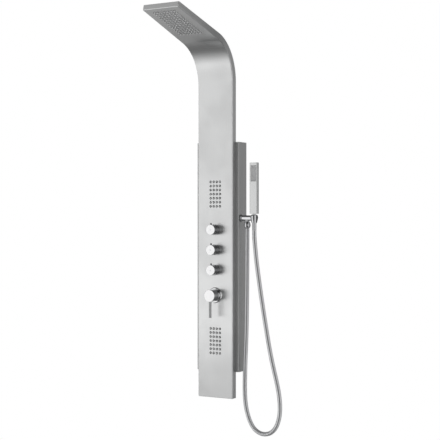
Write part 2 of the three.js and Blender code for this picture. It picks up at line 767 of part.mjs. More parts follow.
add("diverter_manifold", diverterManifold(), brass);
add("mixer_body", mixerBody(), brass);
add("hot_inlet_nipple", inletNipple(-INLET.x), brass);
add("cold_inlet_nipple", inletNipple(INLET.x), brass);
add("rain_feed_pipe", rainFeedPipe(), whitePlastic);
add("upper_jet_pipe", jetPipe(MANIFOLD.top + GAP, JET_HEIGHTS.upper), whitePlastic);
add("lower_jet_pipe", jetPipe(MIXER_BODY.bottom - GAP, JET_HEIGHTS.lower), whitePlastic);
add("hand_shower_pipe", handShowerPipe(), whitePlastic);
add("rain_chamber", waterChamber(RAIN_GRID, RAIN_MIDDLE, RAIN_CHAMBER_DEPTH), blackPlastic);
add("rain_nozzle_mat", nozzleMat(RAIN_GRID, RAIN_MIDDLE), silicone);
for (const [place, height] of Object.entries(JET_HEIGHTS)) {
  add(`${place}_jet_chamber`, waterChamber(JET_GRID, height, JET_CHAMBER_DEPTH), blackPlastic);
  add(`${place}_jet_mat`, nozzleMat(JET_GRID, height), silicone);
}

VALVE_HEIGHTS.forEach((height, i) => {
  const valve = placed(0, FRONT_Y, height);
  add(`diverter_cartridge_${i + 1}`, valveCartridge(), brass, valve);
  add(`diverter_nut_${i + 1}`, valveNut(), brass, valve);
  add(`diverter_sleeve_${i + 1}`, valveSleeve(), chrome, valve);
  add(`diverter_spindle_${i + 1}`, diverterSpindle(), brass, valve);
  add(`diverter_knob_${i + 1}`, diverterKnob(), satinChrome, valve);
  add(`knob_pin_${i + 1}`, knobPin(), chrome, valve);
});

const mixer = placed(0, FRONT_Y, MIXER_HEIGHT);
add("mixer_cartridge", mixerCartridge(), whitePlastic, mixer);
add("mixer_bonnet", mixerBonnet(), chrome, mixer);
add("mixer_escutcheon", mixerEscutcheon(), chrome, mixer);
add("mixer_carrier", mixerCarrier(), whitePlastic, mixer);
add("mixer_stub", mixerStub(), brass, mixer);
add("mixer_handle", mixerHandle(), satinChrome, mixer);
add("mixer_lever", mixerLever(), chrome, mixer);

add("outlet_flange", outletFlange(), chrome);
add("outlet_arm", outletArm(), chrome);
add("outlet_locknut", outletLocknut(), brass);
add("hose_outlet_nut", hoseOutletNut(), chrome);
add("hose", hose(), chrome);
add("hose_handset_nut", hoseHandsetNut(), chrome);
add("handset_neck", handsetNeck(), chrome);
add("handset_body", handsetBody(), brushedSteel);
add("handset_spray_plate", handsetSprayPlate(), silicone);

assembly.position.z = -BRACKET_HEIGHTS.upper;
export default assembly;
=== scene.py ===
"""Rainfall shower column: the looks, built round the frame of its solids.

Lengths in the functions below are millimetres, and heights are measured from the panel's bottom
edge, as in the solids. place() turns them into the frame's metres. X runs across the panel, Y from
the front back to the wall, and Z up. The panel's "distance" is the length along its front face from
the bottom.
"""
import math

import bmesh
import bpy
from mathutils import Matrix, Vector
from mathutils.geometry import delaunay_2d_cdt


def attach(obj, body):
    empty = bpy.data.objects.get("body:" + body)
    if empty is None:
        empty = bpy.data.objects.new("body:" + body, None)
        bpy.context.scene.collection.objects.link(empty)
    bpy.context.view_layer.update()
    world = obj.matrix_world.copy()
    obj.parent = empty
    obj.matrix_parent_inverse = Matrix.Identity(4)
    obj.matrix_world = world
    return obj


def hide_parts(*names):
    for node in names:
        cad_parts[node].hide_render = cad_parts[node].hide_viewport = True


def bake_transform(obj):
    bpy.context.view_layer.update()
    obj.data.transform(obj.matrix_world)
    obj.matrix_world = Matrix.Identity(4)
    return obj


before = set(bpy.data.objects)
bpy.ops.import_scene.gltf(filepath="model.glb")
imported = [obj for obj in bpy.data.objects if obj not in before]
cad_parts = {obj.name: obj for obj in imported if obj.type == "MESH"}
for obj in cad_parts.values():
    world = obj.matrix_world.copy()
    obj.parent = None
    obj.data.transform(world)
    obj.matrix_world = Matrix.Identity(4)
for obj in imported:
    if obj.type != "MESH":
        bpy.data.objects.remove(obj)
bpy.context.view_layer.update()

ORIGIN_HEIGHT = 900.0
ACROSS = Vector((1, 0, 0))
SHEET = 1.5
GAP = 0.3

CAMERA_PLACE = (2221.2, -3892.4, 688.6)
CAMERA_TURN = math.radians(30)
CAMERA_LENS, CAMERA_SENSOR = 93.06, 36
FLOOR_PLACE, FLOOR_RADIUS = (0.2, 0.3, -1.5), 2.0

# The pan: half widths and depths at its straight part, at the end of the bend and at the tip.
FRONT_Y = -82.0
PANEL_HALF, ARC_END_HALF, TIP_HALF = 76.5, 82.0, 76.0
PAN_DEPTH, ARC_END_DEPTH, TIP_DEPTH = 27.5, 25.0, 21.0
STRAIGHT_TOP = 1217.0
BEND_RADIUS, BEND_ANGLE, BEND_STEPS = 155.0, math.radians(74), 36
HEAD_LENGTH = 290.0
BEND_LENGTH = BEND_RADIUS * BEND_ANGLE
HEAD_START = STRAIGHT_TOP + BEND_LENGTH
PANEL_LENGTH = HEAD_START + HEAD_LENGTH
FOLD, FOLD_STEPS = 2.6, 6

CASING_HALF, CASING_FRONT = 93.0, -62.0
CASING_BOTTOM, CASING_TOP = 102.0, 990.0
WEB_FRONT = FRONT_Y + PAN_DEPTH + GAP

# Nozzle grids: columns, rows, pitch across and pitch along.
RAIN_GRID = (7, 13, 14.2, 15.6)
JET_GRID = (4, 7, 13.9, 15.8)
SPRAY_GRID = (5, 12, 4.4, 4.8)
RAIN_REACH = 6 * 15.6
RAIN_MIDDLE = HEAD_START + 74 + RAIN_REACH
JET_HEIGHTS = {"upper": 789.0, "lower": 220.0}
HOLE_RADIUS, HOLE_SIDES = 5.0, 16
NOZZLE_RADIUS, NOZZLE_PROUD, NOZZLE_MARGIN = 2.7, 3.6, 6
MAT_DEPTH, CHAMBER_DEPTH = 3, 12

VALVE_HEIGHTS = (651.0, 573.0, 495.0)
MIXER_HEIGHT = 397.0
VALVE_HOLE, MIXER_HOLE, ROUND_HOLE_SIDES = 10.4, 16.5, 40
PIPE_RADIUS, PIPE_Y = 5.5, -30.0
RAIN_OUTLET, HAND_OUTLET, RAIN_PIPE_X = 665, 640, -42
MANIFOLD_SIDE, MANIFOLD_TOP = 15.3, 690.3
MIXER_BODY_REACH = 13.3

HOLDER_Y = -40.0
ARM_HEIGHT = 696.0
OUTLET_X, CRADLE_X = 118.5, 149.0
FLANGE_X = 93.3
SPRAY_MIDDLE = 867.65
HOSE_RADIUS, HOSE_PITCH = 7.8, 4.2
HOSE_RIDGE = [0.0, 0.6, 0.85, 0.85, 0.6]
# The hose's route in the plane of the holder, as (x, height), from the outlet to the hand shower.
HOSE_ROUTE = [
    (118.5, 656.7), (118.5, 615), (118.3, 560), (118, 500), (117.5, 440), (116.8, 380),
    (116, 320), (114.6, 260), (112.5, 200), (110, 145), (108.5, 90), (107.8, 40), (109.5, -5),
    (116.8, -48), (131, -87), (150, -114), (174, -128), (199, -130), (223, -121), (243, -99),
    (256, -64), (259.8, -22), (255.5, 25), (247, 66), (237, 105), (225.5, 150), (213.5, 205),
    (202.2, 265), (190.5, 330), (179.5, 395), (169.2, 460), (160.3, 520), (153.9, 575),
    (149.8, 620), (149, 649.7),
]


def place(x, y, height):
    return Vector((x, y, height - ORIGIN_HEIGHT)) / 1000


# ---------------- camera, world and floor
def add_camera():
    data = bpy.data.cameras.new("camera")
    data.lens = CAMERA_LENS
    data.sensor_width = CAMERA_SENSOR
    camera = bpy.data.objects.new("camera", data)
    camera.location = place(*CAMERA_PLACE)
    camera.rotation_euler = (math.pi / 2, 0, CAMERA_TURN)
    bpy.context.scene.collection.objects.link(camera)
    bpy.context.scene.camera = camera


class Nodes:
    """A short way to write node trees."""

    def __init__(self, tree):
        self.tree = tree
        tree.nodes.clear()

    def add(self, kind, inputs=(), **settings):
        node = self.tree.nodes.new(kind)
        for key, value in settings.items():
            setattr(node, key, value)
        for key, value in dict(inputs).items():
            if isinstance(value, bpy.types.NodeSocket):
                self.tree.links.new(value, node.inputs[key])
            else:
                node.inputs[key].default_value = value
        return node

    def math(self, operation, a, b=0.0):
        return self.add("ShaderNodeMath", {0: a, 1: b}, operation=operation).outputs[0]

    def step(self, value, low, high, to_low=0.0, to_high=1.0):
        node = self.add("ShaderNodeMapRange", {
            "Value": value, "From Min": low, "From Max": high, "To Min": to_low,
            "To Max": to_high}, interpolation_type="SMOOTHSTEP")
        return node.outputs["Result"]

    def coordinates(self, kind="Object"):
        return self.add("ShaderNodeTexCoord").outputs[kind]

    def noise(self, vector, scale, detail):
        inputs = {"Vector": vector, "Scale": scale, "Detail": detail}
        return self.add("ShaderNodeTexNoise", inputs).outputs[0]

    def link(self, a, b):
        self.tree.links.new(a, b)


def add_world():
    """A studio seen only by reflections and soft light, as zones of direction: x to the right, y
    towards the wall, z up, and azimuth from the front towards the right. The camera sees white."""
    world = bpy.data.worlds.new("studio")
    world.use_nodes = True
    n = Nodes(world.node_tree)
    direction = n.coordinates("Generated")
    x, y, z = n.add("ShaderNodeSeparateXYZ", {0: direction}).outputs
    azimuth = n.math("ARCTAN2", x, n.math("MULTIPLY", y, -1.0))
    steep = n.math("ABSOLUTE", z)

    def lit(strength, *factors):
        level = strength
        for factor in factors:
            level = n.math("MULTIPLY", factor, level)
        return level

    def turn(low, high):
        return n.step(azimuth, math.radians(low), math.radians(high))

    far = n.add("ShaderNodeVectorMath", {0: direction, 1: (-0.5, 0.866, 0)},
                operation="DOT_PRODUCT")
    lights = [
        # the main light, ahead and to the left, from near the floor to well above the horizon
        lit(1.30, n.step(y, 0.10, -0.16), turn(-12, -27), n.step(x, -0.96, -0.68),
            n.step(z, 0.82, 0.30), n.step(z, -0.93, -0.60)),
        # a low band ahead and to the right
        lit(0.46, turn(-12, 4), turn(70, 40), n.step(steep, 0.30, 0.08)),
        # a bright screen on the right
        lit(0.95, turn(50, 68), turn(125, 105), n.step(steep, 0.75, 0.45)),
        # the wall behind, with a lighter patch to the left of its middle
        lit(0.345, n.step(y, 0.15, 0.95)),
        lit(0.66, n.step(far.outputs["Value"], 0.88, 0.95)),
        # a weak fill on the left
        lit(0.34, n.step(x, -0.35, -0.75), n.step(y, -0.35, 0.05), n.step(z, -0.8, -0.5)),
        # what the floor and the ceiling give back
        n.step(z, -0.45, -0.80, 0.05, 0.20),
        n.step(z, 0.88, 0.98, 0.0, 0.4),
    ]
    level = lights[0]
    for light in lights[1:]:
        level = n.math("ADD", level, light)
    studio = n.add("ShaderNodeBackground", {"Color": level, "Strength": 1.0})
    white = n.add("ShaderNodeBackground", {"Color": (1, 1, 1, 1), "Strength": 1.0})
    seen = n.add("ShaderNodeLightPath").outputs["Is Camera Ray"]
    mix = n.add("ShaderNodeMixShader", {0: seen, 1: studio.outputs[0], 2: white.outputs[0]})
    output = n.add("ShaderNodeOutputWorld")
    n.link(mix.outputs[0], output.inputs[0])
    bpy.context.scene.world = world
    view = bpy.context.scene.view_settings
    view.view_transform = "Standard"
    view.look = "None"


def add_floor():
    bm = bmesh.new()
    bmesh.ops.create_circle(bm, cap_ends=True, segments=96, radius=FLOOR_RADIUS)
    mesh = bpy.data.meshes.new("floor")
    bm.to_mesh(mesh)
    bm.free()
    floor = bpy.data.objects.new("floor", mesh)
    floor.location = FLOOR_PLACE
    floor.visible_glossy = False
    floor.visible_diffuse = False
    material, _, _ = principled("floor_pale", Base_Color=(0.93, 0.93, 0.93, 1), Roughness=0.8,
                                Emission_Color=(1, 1, 1, 1), Emission_Strength=0.42)
    mesh.materials.append(material)
    bpy.context.scene.collection.objects.link(floor)


# ---------------- materials
def principled(name, **constants):
    material = bpy.data.materials.new(name)
    material.use_nodes = True
    n = Nodes(material.node_tree)
    shader = n.add("ShaderNodeBsdfPrincipled")
    for key, value in constants.items():
        shader.inputs[key.replace("_", " ")].default_value = value
    output = n.add("ShaderNodeOutputMaterial")
    n.link(shader.outputs[0], output.inputs[0])
    return material, n, shader


def tinted(n, factor, dark, light):
    """A colour between two, by a factor."""
    return n.add("ShaderNodeMix", {0: factor, 6: dark, 7: light}, data_type="RGBA").outputs[2]


def scaled(base, factor):
    return tuple(min(c * factor, 1) for c in base[:3]) + (1,)


def add_bump(n, shader, height, strength, distance):
    bump = n.add("ShaderNodeBump", {"Height": height, "Strength": strength, "Distance": distance})
    n.link(bump.outputs[0], shader.inputs["Normal"])


def brushed(name, base, roughness, aniso, scale=(900, 9, 900), coords="Object", wear=0.02,
            shade=()):
    """Brushed steel: long fine grain and a slow cloudy change of gloss. shade gives, for an axis or
    two, tones at places along it in metres: painted light and shade, bands of the colour made
    lighter or darker where light or shade falls on the piece."""
    material, n, shader = principled(name, Metallic=1.0, Anisotropic=aniso)
    at = n.coordinates(coords)
    stretched = n.add("ShaderNodeMapping", {"Vector": at, "Scale": scale}).outputs[0]
    grain = n.noise(stretched, 1.0, 4.0)
    clouds = n.noise(at, 7.0, 3.0)
    color = tinted(n, n.step(grain, 0.3, 0.7), scaled(base, 0.965), scaled(base, 1.02))
    # painted light and shade: the base colour is scaled by the tones given along each axis
    for axis, tones in shade:
        along = n.add("ShaderNodeSeparateXYZ", {0: at}).outputs[axis]
        tone = tones[0][1]
        for (low, _), (high, level) in zip(tones, tones[1:]):
            blend = n.step(along, low, high)
            tone = n.math("ADD", n.math("MULTIPLY", n.math("SUBTRACT", level, tone), blend), tone)
        toned = n.add("ShaderNodeVectorMath", {0: color, "Scale": tone}, operation="SCALE")
        color = toned.outputs[0]
    n.link(color, shader.inputs["Base Color"])
    rough = n.math("ADD", n.step(grain, 0.25, 0.75, roughness - 0.03, roughness + 0.03),
                   n.step(clouds, 0.35, 0.7, -wear, wear))
    n.link(rough, shader.inputs["Roughness"])
    add_bump(n, shader, grain, 0.06, 0.0001)
    tangent = n.add("ShaderNodeCombineXYZ", {0 if coords == "UV" else 2: 1.0}).outputs[0]
    n.link(tangent, shader.inputs["Tangent"])
    if coords != "UV":
        shader.inputs["Anisotropic Rotation"].default_value = 0.25
    return material


def polished(name, base, roughness, smudge=0.03):
    """Chrome: near mirror, with faint water marks in its gloss."""
    material, n, shader = principled(name, Metallic=1.0, Base_Color=base)
    at = n.coordinates()
    marks = n.noise(at, 60.0, 4.0)
    n.link(n.step(marks, 0.45, 0.75, roughness, roughness + smudge), shader.inputs["Roughness"])
    add_bump(n, shader, n.noise(at, 900.0, 2.0), 0.03, 0.00005)
    return material


def spun(name, base, roughness):
    """A face turned on a lathe: rings about the piece's own Y axis."""
    material, n, shader = principled(name, Metallic=1.0)
    at = n.coordinates()
    flat = n.add("ShaderNodeVectorMath", {0: at, 1: (1, 0, 1)}, operation="MULTIPLY").outputs[0]
    radius = n.add("ShaderNodeVectorMath", {0: flat}, operation="LENGTH").outputs["Value"]
    rings = n.add(
        "ShaderNodeTexNoise", {"W": n.math("MULTIPLY", radius, 2600.0), "Detail": 3.0},
        noise_dimensions="1D").outputs[0]
    n.link(tinted(n, rings, scaled(base, 0.95), base), shader.inputs["Base Color"])
    n.link(n.step(rings, 0.3, 0.7, roughness - 0.03, roughness + 0.04), shader.inputs["Roughness"])
    add_bump(n, shader, rings, 0.08, 0.00008)
    return material


def moulded(name, base, roughness, bump=0.15, metallic=0.0, scale=420.0):
    """Moulded plastic, silicone or cast brass: mottled colour and a fine skin."""
    material, n, shader = principled(name, Metallic=metallic)
    at = n.coordinates()
    skin = n.noise(at, scale, 5.0)
    broad = n.noise(at, 25.0, 3.0)
    color = tinted(n, n.step(broad, 0.35, 0.65), scaled(base, 0.9), base)
    n.link(color, shader.inputs["Base Color"])
    n.link(n.step(skin, 0.3, 0.7, roughness - 0.05, roughness + 0.07), shader.inputs["Roughness"])
    add_bump(n, shader, skin, bump, 0.0002)
    return material


# ---------------- meshes
def make(name, verts, faces, materials, body, replaced, slot, bevel=0.0, smooth=35,
         origin=(0, 0, 0), uvs=None):
    """One mesh piece from points in metres, with its edges softened and its normals weighted."""
    origin = Vector(origin)
    mesh = bpy.data.meshes.new(name)
    mesh.from_pydata([tuple(Vector(v) - origin) for v in verts], [], faces)
    if uvs:
        add_uvs(mesh, uvs)
    bm = bmesh.new()
    bm.from_mesh(mesh)
    bmesh.ops.remove_doubles(bm, verts=bm.verts, dist=1e-7)
    bmesh.ops.dissolve_degenerate(bm, edges=bm.edges, dist=1e-8)
    bmesh.ops.recalc_face_normals(bm, faces=bm.faces)
    bm.to_mesh(mesh)
    bm.free()
    obj = bpy.data.objects.new(name, mesh)
    obj.location = origin
    for material in materials:
        mesh.materials.append(material)
    bpy.context.scene.collection.objects.link(obj)
    soften(obj, bevel, smooth)
    if body:
        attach(obj, body)
    if replaced:
        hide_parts(*replaced)
    return obj


def add_uvs(mesh, uvs):
    layer = mesh.uv_layers.new(name="UVMap")
    for loop in mesh.loops:
        layer.data[loop.index].uv = uvs[loop.vertex_index]


def soften(obj, bevel, smooth=35, segments=3):
    """Rounds the edges of a mesh with modifiers and shades it smooth between sharp edges."""
    mesh = obj.data
    mesh.polygons.foreach_set("use_smooth", [True] * len(mesh.polygons))
    if bevel:
        modifier = obj.modifiers.new("edges", "BEVEL")
        modifier.width = bevel / 1000
        modifier.segments = segments
        modifier.limit_method = "ANGLE"
        modifier.angle_limit = math.radians(smooth)
    else:
        mesh.set_sharp_from_angle(angle=math.radians(smooth))
    weighted = obj.modifiers.new("normals", "WEIGHTED_NORMAL")
    weighted.keep_sharp = True
    weighted.weight = 80


def rectangle(low_a, high_a, low_b, high_b):
    return [(low_a, low_b), (high_a, low_b), (high_a, high_b), (low_a, high_b)]


def rounded(outline, radii, steps=4):
    """An outline of 2D points with each corner rounded to its own radius."""
    count = len(outline)
    points = []
    for i, corner in enumerate(outline):
        here = Vector(corner)
        back = Vector(outline[i - 1]) - here
        ahead = Vector(outline[(i + 1) % count]) - here
        angle = back.angle(ahead, math.pi)
        if radii[i] <= 0 or angle > math.pi - 0.02 or angle < 0.02:
            points.append(tuple(here))
            continue
        reach = min(radii[i] / math.tan(angle / 2), back.length * 0.48, ahead.length * 0.48)
        start = here + back.normalized() * reach
        end = here + ahead.normalized() * reach
        radius = reach * math.tan(angle / 2)
        centre = here + (back.normalized() + ahead.normalized()).normalized() * (
            radius / math.sin(angle / 2))
        a = start - centre
        b = end - centre
        turn = a.angle_signed(b)
        for k in range(steps + 1):
            t = -turn * k / steps
            points.append((
                centre.x + a.x * math.cos(t) - a.y * math.sin(t),
                centre.y + a.x * math.sin(t) + a.y * math.cos(t),
            ))
    return points


def angles(sides):
    return [2 * math.pi * k / sides for k in range(sides)]


def stacked(levels, sides):
    """The faces round a stack of equal rings of points, with its two ends."""
    faces = []
    for start in range(0, (levels - 1) * sides, sides):
        for k in range(sides):
            m = (k + 1) % sides
            faces.append([start + k, start + m, start + sides + m, start + sides + k])
    faces.append(list(range(sides)))
    faces.append(list(range(levels * sides - 1, (levels - 1) * sides - 1, -1)))
    return faces


def turned(outline, axis, centre, sides=96, shape=None):
    """Points and faces of an outline of (radius, along) pairs turned about an axis."""
    verts, faces, rings = [], [], []
    for radius, along in outline:
        ring = []
        for angle in angles(sides)[:1 if radius < 1e-6 else sides]:
            r = shape(radius, angle) if shape else radius
            u, v = r * math.cos(angle), r * math.sin(angle)
            local = {"front": (u, -along, v), "x": (along, u, v), "z": (u, v, along)}[axis]
            ring.append(len(verts))
            verts.append(place(centre[0] + local[0], centre[1] + local[1], centre[2] + local[2]))
        rings.append(ring)
    for i, ring in enumerate(rings):
        following = rings[(i + 1) % len(rings)]
        if len(ring) == 1 and len(following) == 1:
            continue
        for k in range(sides):
            m = (k + 1) % sides
            face = [ring[k % len(ring)], ring[m % len(ring)],
                    following[m % len(following)], following[k % len(following)]]
            faces.append(list(dict.fromkeys(face)))
    return verts, faces


def lathed(name, outline, radii, axis, centre, materials, body, node, sides=96, steps=4,
           slot="chrome", origin=(0, 0, 0)):
    """One turned piece: an outline with rounded corners, standing for a node."""
    verts, faces = turned(rounded(outline, radii, steps), axis, centre, sides)
    return make(name, verts, faces, materials, body, [node], slot, smooth=30, origin=origin)


def stud(centre, outward, profile, sides, shape=None):
    """A small turned shape on a surface, from (radius, up) pairs along its outward direction."""
    outward = outward.normalized()
    other = outward.cross(ACROSS).normalized()
    verts = []
    for radius, up in profile:
        for angle in angles(sides):
            r = shape(radius, angle) if shape else radius
            spot = ACROSS * (r * math.cos(angle)) + other * (r * math.sin(angle))
            verts.append(centre + (spot + outward * up) / 1000)
    return verts, stacked(len(profile), sides)


def merge(*parts):
    verts, faces = [], []
    for more_verts, more_faces in parts:
        start = len(verts)
        verts += more_verts
        faces += [[i + start for i in face] for face in more_faces]
    return verts, faces


def extruded(outline, axis, low, high):
    """A prism of an outline between two planes: in x, y for axis z, in y, z for axis x."""
    verts = [place(a, b, level) if axis == "z" else place(level, a, b)
             for level in (low, high) for a, b in outline]
    return verts, stacked(2, len(outline))


def bar(radius, start, end, sides=48):
    """A plain round bar between two points, used as a cutter."""
    a, b = place(*start), place(*end)
    along = (b - a).normalized()
    side = along.orthogonal().normalized()
    other = along.cross(side)
    verts = [point + (side * math.cos(angle) + other * math.sin(angle)) * radius / 1000
             for point in (a, b) for angle in angles(sides)]
    return verts, stacked(2, sides)


def combined(base, joined=(), removed=()):
    """Points and faces of a solid after joining and cutting others with exact booleans."""
    def temporary(part):
        mesh = bpy.data.meshes.new("temporary")
        mesh.from_pydata([tuple(v) for v in part[0]], [], part[1])
        bm = bmesh.new()
        bm.from_mesh(mesh)
        bmesh.ops.recalc_face_normals(bm, faces=bm.faces)
        bm.to_mesh(mesh)
        bm.free()
        obj = bpy.data.objects.new("temporary", mesh)
        bpy.context.scene.collection.objects.link(obj)
        return obj

    body = temporary(base)
    tools = []
    for operation, parts in (("UNION", joined), ("DIFFERENCE", removed)):
        for part in parts:
            tool = temporary(part)
            tools.append(tool)
            modifier = body.modifiers.new(operation.lower(), "BOOLEAN")
            modifier.operation = operation
            modifier.solver = "EXACT"
            modifier.object = tool
    bpy.context.view_layer.update()
    evaluated = body.evaluated_get(bpy.context.evaluated_depsgraph_get())
    mesh = evaluated.to_mesh()
    verts = [v.co.copy() for v in mesh.vertices]
    faces = [list(p.vertices) for p in mesh.polygons]
    evaluated.to_mesh_clear()
    for obj in [body, *tools]:
        data = obj.data
        bpy.data.objects.remove(obj)
        bpy.data.meshes.remove(data)
    return verts, faces


def smooth_line(corners, bend, steps=8):
    """Straight runs between corners, each corner turned through a curve."""
    corners = [Vector(c) for c in corners]
    points = [corners[0]]
    for before, here, after in zip(corners, corners[1:], corners[2:]):
        start = here + (before - here).normalized() * bend
        end = here + (after - here).normalized() * bend
        for k in range(steps + 1):
            t = k / steps
            points.append(start * (1 - t) ** 2 + here * 2 * t * (1 - t) + end * t * t)
    points.append(corners[-1])
    return points


def tube(points, radius_at, sides=20):
    """A capped tube through points in metres; radius_at gives the millimetre radius at each."""
    verts = []
    count = len(points)
    side = None
    for i, point in enumerate(points):
        tangent = (points[min(i + 1, count - 1)] - points[max(i - 1, 0)]).normalized()
        if side is None:
            side = tangent.orthogonal().normalized()
        side = (side - tangent * side.dot(tangent)).normalized()
        other = tangent.cross(side)
        reach = radius_at(i) / 1000
        for angle in angles(sides):
            verts.append(point + (side * math.cos(angle) + other * math.sin(angle)) * reach)
    return verts, stacked(count, sides)


# ---------------- the bent panel
def station(distance):
    """The panel's point, inward and onward directions, half width and depth at a distance."""
    turn = min(max((distance - STRAIGHT_TOP) / BEND_RADIUS, 0), BEND_ANGLE)
    beyond = max(distance - HEAD_START, 0)
    inward = Vector((0, math.cos(turn), math.sin(turn)))
    onward = Vector((0, -math.sin(turn), math.cos(turn)))
    point = Vector((0, FRONT_Y - BEND_RADIUS, min(distance, STRAIGHT_TOP)))
    point += inward * BEND_RADIUS + onward * beyond
    bent, out = turn / BEND_ANGLE, beyond / HEAD_LENGTH
    half = PANEL_HALF + (ARC_END_HALF - PANEL_HALF) * bent + (TIP_HALF - ARC_END_HALF) * out
    depth = PAN_DEPTH + (ARC_END_DEPTH - PAN_DEPTH) * bent + (TIP_DEPTH - ARC_END_DEPTH) * out
    return point, inward, onward, half, depth


def on_panel(across, distance, depth):
    point, inward, _, _, _ = station(distance)
    spot = point + inward * depth
    return place(across, spot.y, spot.z)


def grid_places(grid):
    columns, rows, across, along = grid
    return [
        ((column - (columns - 1) / 2) * across, (row - (rows - 1) / 2) * along)
        for row in range(rows) for column in range(columns)
    ]


def stations_between(start, end, arc_steps):
    """Distances from start to end, with even steps wherever the bend lies between them."""
    inner = [STRAIGHT_TOP + BEND_LENGTH * i / arc_steps for i in range(arc_steps + 1)]
    return [start] + [s for s in inner if start < s < end] + [end]


def panel_holes():
    """Rows of (across, distance, radius) for every hole in the panel's front face."""
    holes = [(a, RAIN_MIDDLE + b, HOLE_RADIUS) for a, b in grid_places(RAIN_GRID)]
    for height in JET_HEIGHTS.values():
        holes += [(a, height + b, HOLE_RADIUS) for a, b in grid_places(JET_GRID)]
    holes += [(0.0, height, VALVE_HOLE) for height in VALVE_HEIGHTS]
    holes.append((0.0, MIXER_HEIGHT, MIXER_HOLE))
    return holes


def panel_front():
    """The flat and bent front face between its folds, as 2D triangles in (across, distance), the
    loop of its boundary points, and the loops round its holes."""
    distances = stations_between(FOLD, PANEL_LENGTH - FOLD, BEND_STEPS)
    right = [(station(s)[3] - FOLD, s) for s in distances]
    left = [(-a, s) for a, s in right]
    points = [Vector(p) for p in right + left[::-1]]
    count = len(points)
    edges = [(i, (i + 1) % count) for i in range(count)]
    edges += [(i, count - 1 - i) for i in range(1, len(right) - 1)]
    hole_loops = []
    for across, distance, radius in panel_holes():
        start = len(points)
        sides = HOLE_SIDES if radius == HOLE_RADIUS else ROUND_HOLE_SIDES
        for angle in angles(sides):
            points.append(Vector((across + radius * math.cos(angle),
                                  distance + radius * math.sin(angle))))
        hole_loops.append(list(range(start, start + sides)))
        edges += [(start + k, start + (k + 1) % sides) for k in range(sides)]
    out_points, _, triangles, origins, _, _ = delaunay_2d_cdt(points, edges, [], 0, 1e-4)
    new_index = {}
    for index, sources in enumerate(origins):
        for source in sources:
            new_index[source] = index
    boundary = [new_index[i] for i in range(count)]
    loops = [[new_index[i] for i in loop] for loop in hole_loops]
    loop_of = {i: number for number, loop in enumerate(loops) for i in loop}
    kept = []
    for triangle in triangles:
        middle = sum((out_points[i] for i in triangle), Vector((0, 0))) / 3
        outside = abs(middle.x) > station(middle.y)[3] - FOLD - 1e-6
        within = {loop_of.get(i, -1) for i in triangle}
        if not outside and (len(within) > 1 or -1 in within):
            kept.append(list(triangle))
    return out_points, kept, boundary, loops


def fold_profile(depth):
    """(outward, depth, normal outward, normal inward) from the fold's start, down the return, over
    its raw edge and back up inside to the fold's start."""
    inner = FOLD - SHEET
    turn = [math.pi / 2 * k / FOLD_STEPS for k in range(1, FOLD_STEPS + 1)]
    over = [(FOLD * math.sin(t), FOLD * (1 - math.cos(t)), math.sin(t), -math.cos(t)) for t in turn]
    edge = [(FOLD, depth - 0.3, 1, 0), (FOLD - 0.3, depth, 0, 1),
            (inner + 0.3, depth, 0, 1), (inner, depth - 0.3, -1, 0)]
    back = [(inner * math.sin(t), FOLD - inner * math.cos(t), -math.sin(t), math.cos(t))
            for t in reversed(turn)]
    return over + edge + back


def shaded(name, verts, faces, normals, material, body, replaced, uvs):
    """One mesh piece whose faces carry their exact surface normals, one for each corner."""
    for index, (face, shades) in enumerate(zip(faces, normals)):
        area = Vector((0, 0, 0))
        for a, b in zip(face, face[1:] + face[:1]):
            area += verts[a].cross(verts[b])
        if area.dot(sum(shades, Vector((0, 0, 0)))) < 0:
            faces[index], normals[index] = face[::-1], shades[::-1]
    mesh = bpy.data.meshes.new(name)
    mesh.from_pydata([tuple(v) for v in verts], [], faces)
    add_uvs(mesh, uvs)
    mesh.polygons.foreach_set("use_smooth", [True] * len(mesh.polygons))
    mesh.normals_split_custom_set([n.normalized() for shades in normals for n in shades])
    mesh.materials.append(material)
    obj = bpy.data.objects.new(name, mesh)
    bpy.context.scene.collection.objects.link(obj)
    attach(obj, body)
    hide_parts(*replaced)
    return obj


